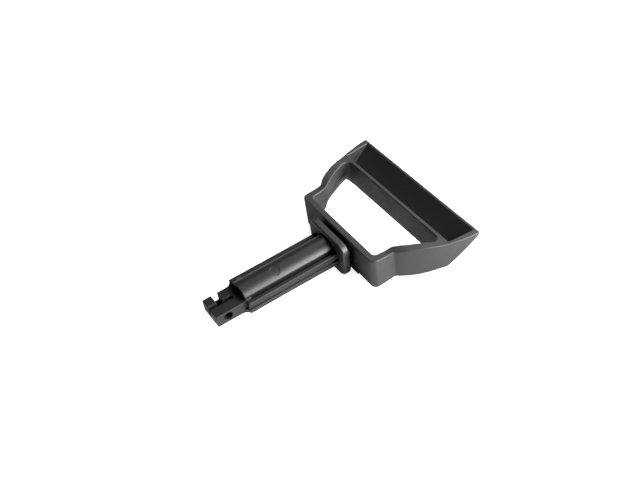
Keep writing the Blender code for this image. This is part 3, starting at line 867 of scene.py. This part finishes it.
def mix_for_camera(tree, unseen, seen, output):
    """Shows one shader to the camera and the other to all other rays."""
    path = tree.nodes.new("ShaderNodeLightPath")
    mix = tree.nodes.new("ShaderNodeMixShader")
    link(tree, path, "Is Camera Ray", mix, "Fac")
    link(tree, unseen, 0, mix, 1)
    link(tree, seen, 0, mix, 2)
    link(tree, mix, 0, output, "Surface")


def pale_floor():
    """Bright and plain to the camera; what it throws back onto the part is weaker."""
    mat, tree, bsdf, coord = shader("pale_floor")
    mottle = noise(tree, coord, Scale=9.0, Detail=3.0)
    tone = ramp(tree, mottle, low=(0.3, (0.86, 0.86, 0.86)), high=(0.7, (0.88, 0.88, 0.88)))
    link(tree, tone, "Color", bsdf, "Base Color")
    bsdf.inputs["Roughness"].default_value = 0.9
    bsdf.inputs["Specular IOR Level"].default_value = 0.1
    dim = node(tree, "ShaderNodeBsdfDiffuse", Color=(0.76, 0.76, 0.76, 1))
    glow = node(tree, "ShaderNodeEmission", Color=(1, 1, 1, 1), Strength=0.9)
    add = tree.nodes.new("ShaderNodeAddShader")
    link(tree, bsdf, 0, add, 0)
    link(tree, glow, 0, add, 1)
    mix_for_camera(tree, dim, add, tree.nodes["Material Output"])
    return mat


def paint(obj, mat):
    obj.data.materials.clear()
    obj.data.materials.append(mat)


# ---- floor, light, camera ----
def floor():
    half = 3.0
    z = min(COLLAR_MIN[2], PAD_LOW) * MM - 0.0001
    corners = [(-half, -half, z), (half, -half, z), (half, half, z), (-half, half, z)]
    mesh = bpy.data.meshes.new("floor")
    mesh.from_pydata(corners, [], [(0, 1, 2, 3)])
    obj = add_object("floor", mesh)
    paint(obj, pale_floor())


def softbox(name, toward, distance, width, height, power, aim):
    """Rectangular light seen from aim along toward."""
    way = Vector(toward).normalized()
    light = bpy.data.lights.new(name, "AREA")
    light.shape = "RECTANGLE"
    light.size, light.size_y, light.energy = width, height, power
    obj = add_object(name, light)
    obj.location = Vector(aim) + way * distance
    obj.rotation_mode = "QUATERNION"
    obj.rotation_quaternion = (-way).to_track_quat("-Z", "Y")


def world():
    """White to the camera, a faint fill for all other rays."""
    studio = bpy.data.worlds.new("studio")
    bpy.context.scene.world = studio
    studio.use_nodes = True
    tree = studio.node_tree
    fill = tree.nodes["Background"]
    fill.inputs["Color"].default_value = (1, 1, 1, 1)
    fill.inputs["Strength"].default_value = 0.03
    seen = node(tree, "ShaderNodeBackground", Color=(1, 1, 1, 1), Strength=1.0)
    mix_for_camera(tree, fill, seen, tree.nodes["World Output"])


def camera():
    data = bpy.data.cameras.new("camera")
    data.sensor_fit, data.sensor_width, data.lens = "HORIZONTAL", 36.0, 49.342
    data.clip_start, data.clip_end = 0.01, 20.0
    obj = add_object("camera", data)
    right = Vector((0.82773, -0.54996, -0.11134))
    up = Vector((0.45720, 0.54599, 0.70204))
    back = Vector((-0.32531, -0.63200, 0.70338))
    place = Matrix((right, up, back)).transposed().to_4x4()
    place.translation = Vector((BASE_AT - 139.80, -254.44, 290.49)) * MM
    obj.matrix_world = place
    bpy.context.scene.camera = obj


# the edge colour given in each call lightens convex edges: painted highlight, partly rubbed wear
loop_plastic = moulded(
    "loop_plastic", dark=(0.0120, 0.0126, 0.0124), light=(0.0155, 0.0162, 0.0158), rough=0.53,
    grain=3400.0, grain_depth=0.00003, edge_sheen_and_wear=(0.048, 0.049, 0.049), specular=0.64)
stem_plastic = moulded(
    "stem_plastic", dark=(0.0070, 0.0074, 0.0074), light=(0.0095, 0.0099, 0.0100), rough=0.43,
    grain=5200.0, grain_depth=0.000006, edge_sheen_and_wear=(0.022, 0.023, 0.023), specular=0.46)
collar_plastic = moulded(
    "collar_plastic", dark=(0.0110, 0.0115, 0.0115), light=(0.0145, 0.0150, 0.0150), rough=0.48,
    grain=4400.0, grain_depth=0.00001, edge_sheen_and_wear=(0.048, 0.049, 0.049), specular=0.66)

paint(grip_loop(), loop_plastic)
paint(stem(), stem_plastic)
paint(guide_collar(), collar_plastic)
paint(stop_buffer(), soft_rubber())
paint(retaining_screw(), plated_steel())

floor()
world()
camera()
centre = (cad_low + cad_high) / 2
softbox("key", toward=(0.60, -0.68, 0.42), distance=0.8, width=0.7, height=0.6,
        power=32.0, aim=centre)
softbox("top_fill", toward=(0.58, 0.32, 0.76), distance=0.9, width=0.5, height=0.4,
        power=3.0, aim=centre)
bpy.context.scene.view_settings.view_transform = "Standard"
bpy.context.scene.view_settings.look = "None"
